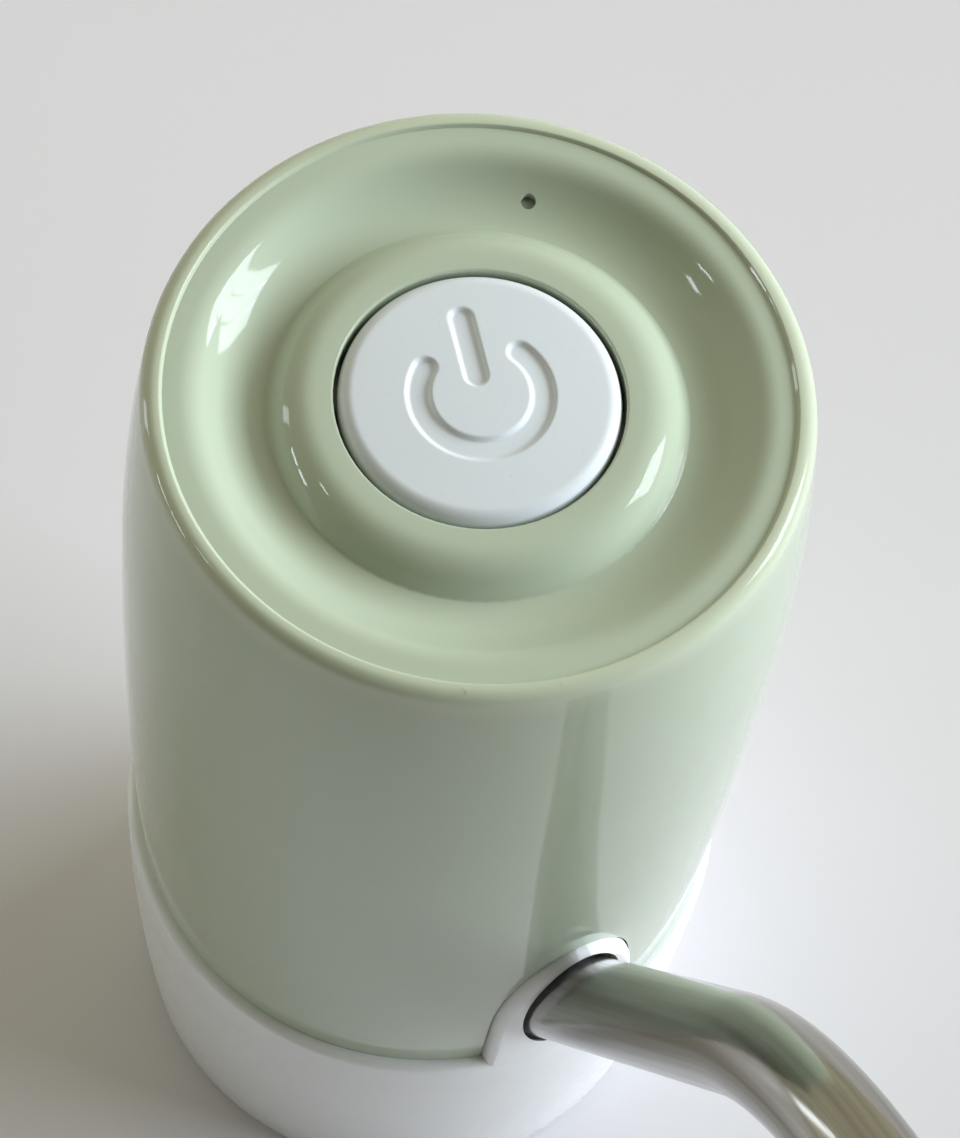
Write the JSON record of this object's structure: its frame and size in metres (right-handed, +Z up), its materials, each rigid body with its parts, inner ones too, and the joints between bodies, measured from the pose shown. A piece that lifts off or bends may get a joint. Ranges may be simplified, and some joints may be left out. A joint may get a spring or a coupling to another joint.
{
  "type": "water jug pump",
  "caption": "Battery pump that sits on a large bottle's neck: barrel casing with a dished top and push button, proud base with a neck socket, and a bent steel spout.",
  "frame": {"origin": "centre of the neck socket's mouth, in the plane of the base's lower rim", "axes": "+Z up along the casing, +X along the spout"},
  "size_m": [0.1778, 0.07, 0.1366],
  "materials": {
    "shell_green": "glossy moulded plastic",
    "base_white": "satin moulded plastic",
    "button_white": "satin moulded plastic",
    "spout_steel": "satin stainless steel",
    "bush_black": "plain",
    "rubber_grey": "soft",
    "rubber_black": "soft",
    "hose_clear": "translucent silicone",
    "inner_white": "moulded",
    "inner_black": "moulded",
    "zinc_steel": "zinc plated",
    "shaft_steel": "ground",
    "magnet": "sintered",
    "rotor": "laminated",
    "cell_wrap": "heat-shrink sleeve",
    "nickel": "nickel strip",
    "wire_red": "insulated wire",
    "board_green": "solder mask",
    "chip_black": "moulded",
    "lamp_clear": "clear lens"
  },
  "bodies": {
    "base": {"base_shell": "base_white", "upper_shell": "shell_green", "neck_seal": "rubber_grey", "seam_seal": "rubber_grey", "intake_nozzle": "inner_white", "inlet_hose": "hose_clear", "outlet_hose": "hose_clear", "pump_cover": "inner_black", "valve_plate": "inner_black", "valve_flaps": "rubber_grey", "diaphragm": "rubber_black", "pump_housing": "inner_black", "pump_screws": "zinc_steel", "motor_can": "zinc_steel", "motor_magnets": "magnet", "motor_end_cap": "inner_white", "motor_leads": "wire_red", "battery_cell": "cell_wrap", "battery_contacts": "nickel", "battery_leads": "wire_red", "chassis": "inner_white", "chassis_screws": "zinc_steel", "circuit_board": "board_green", "board_screws": "zinc_steel", "tact_switch": "inner_black", "usb_socket": "nickel", "control_chips": "chip_black", "indicator_led": "lamp_clear", "light_pipe": "lamp_clear", "button_seal": "rubber_grey"},
    "button": {"button_cap": "button_white", "button_stem": "inner_white", "switch_actuator": "inner_black"},
    "crank": {"motor_shaft": "shaft_steel", "rotor_core": "rotor", "crank_hub": "inner_white", "crank_pin": "shaft_steel"},
    "wobble": {"wobble_plate": "inner_black"},
    "spout_turn": {"spout_bush": "bush_black"},
    "spout": {"spout_tube": "spout_steel"}
  },
  "joints": [
    {"name": "button_press", "type": "slide", "parent": "base", "child": "button", "axis": [0, 0, -1], "range_m": [0, 0.0006], "stiffness_N_per_m": 3000},
    {"name": "motor_spin", "type": "hinge", "parent": "base", "child": "crank", "pos_m": [-0.0135, 0, 0.05212], "axis": [0, 0, 1], "continuous": true},
    {"name": "wobble_turn", "type": "hinge", "parent": "crank", "child": "wobble", "pos_m": [-0.0135, 0, 0.05212], "axis": [0.1219, 0, 0.9925], "continuous": true},
    {"name": "spout_swivel", "type": "hinge", "parent": "base", "child": "spout_turn", "pos_m": [0.035, 0, 0.0567], "axis": [0.4848, 0, 0.8746], "range_deg": [-60, 60]},
    {"name": "spout_pull", "type": "slide", "parent": "spout_turn", "child": "spout", "axis": [0.4848, 0, 0.8746], "range_m": [0, 0.02]}
  ],
  "couplings": [
    {"joint": "wobble_turn", "follows": "motor_spin", "ratio": -1}
  ]
}
